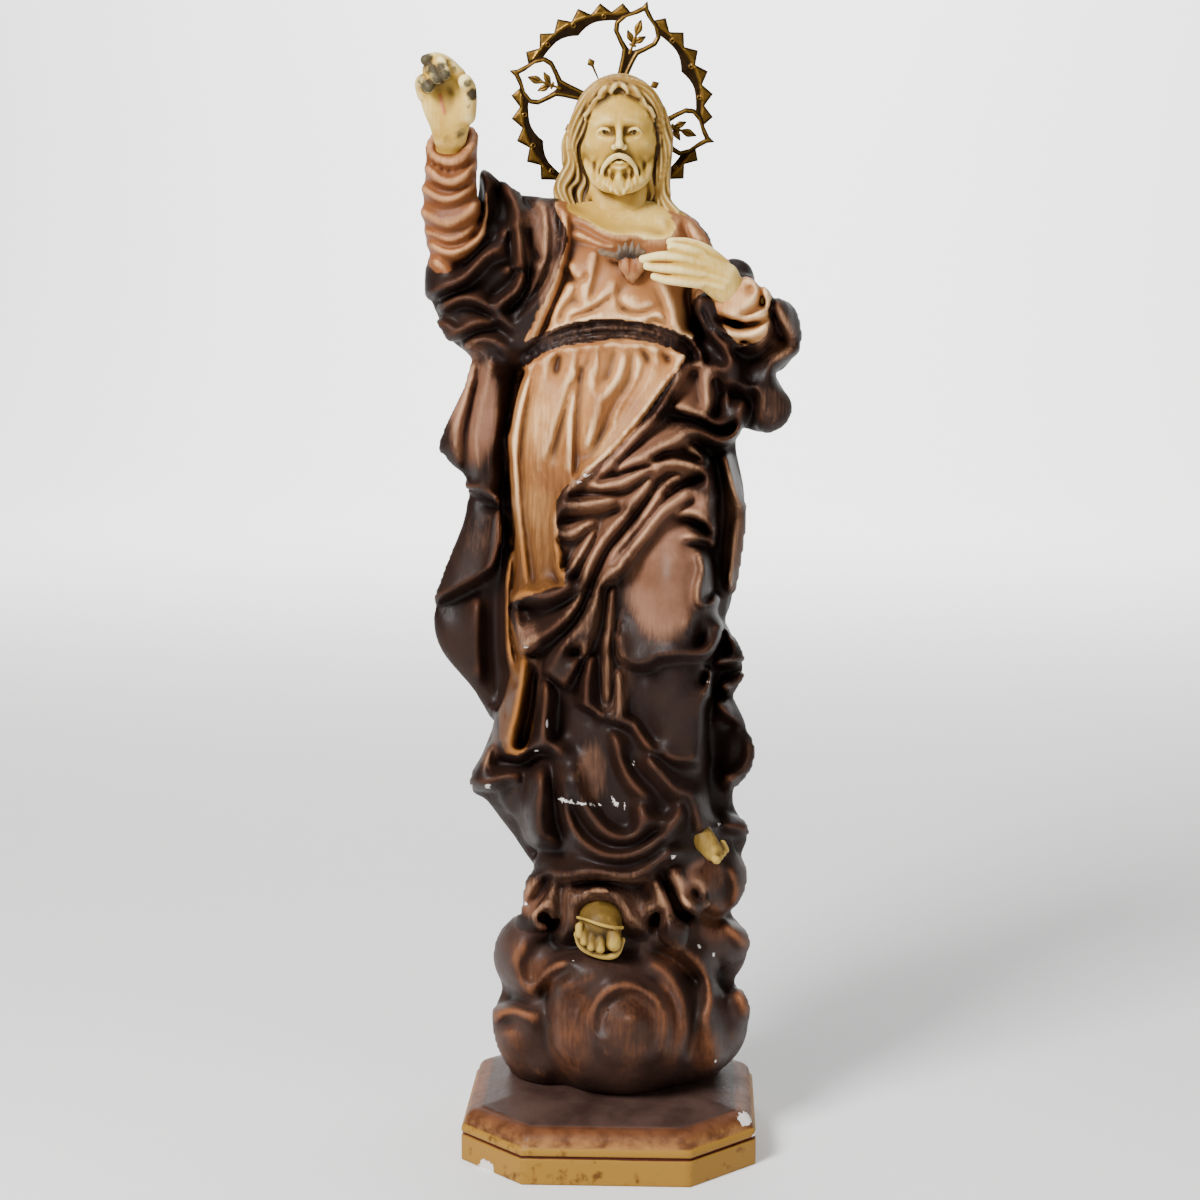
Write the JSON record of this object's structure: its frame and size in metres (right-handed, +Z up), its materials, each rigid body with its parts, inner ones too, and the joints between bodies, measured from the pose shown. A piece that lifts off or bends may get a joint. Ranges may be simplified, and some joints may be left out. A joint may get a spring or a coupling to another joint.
{
  "type": "sacred heart statue",
  "caption": "Painted plaster statue of a robed, bearded figure with a raised hand, standing on a cloud and plinth, with a brass halo.",
  "frame": {"origin": "centre of the plinth's underside", "axes": "+Z up; the figure faces -Y; +X to the viewer's right as seen from the front"},
  "size_m": [0.2577, 0.205, 0.8007],
  "materials": {
    "painted_plaster": "plaster painted copper, dark brown and ivory, rubbed and chipped",
    "halo_brass": "stamped sheet brass, darkened"
  },
  "bodies": {
    "root": {"statue": "painted_plaster", "halo": "halo_brass"}
  },
  "joints": []
}
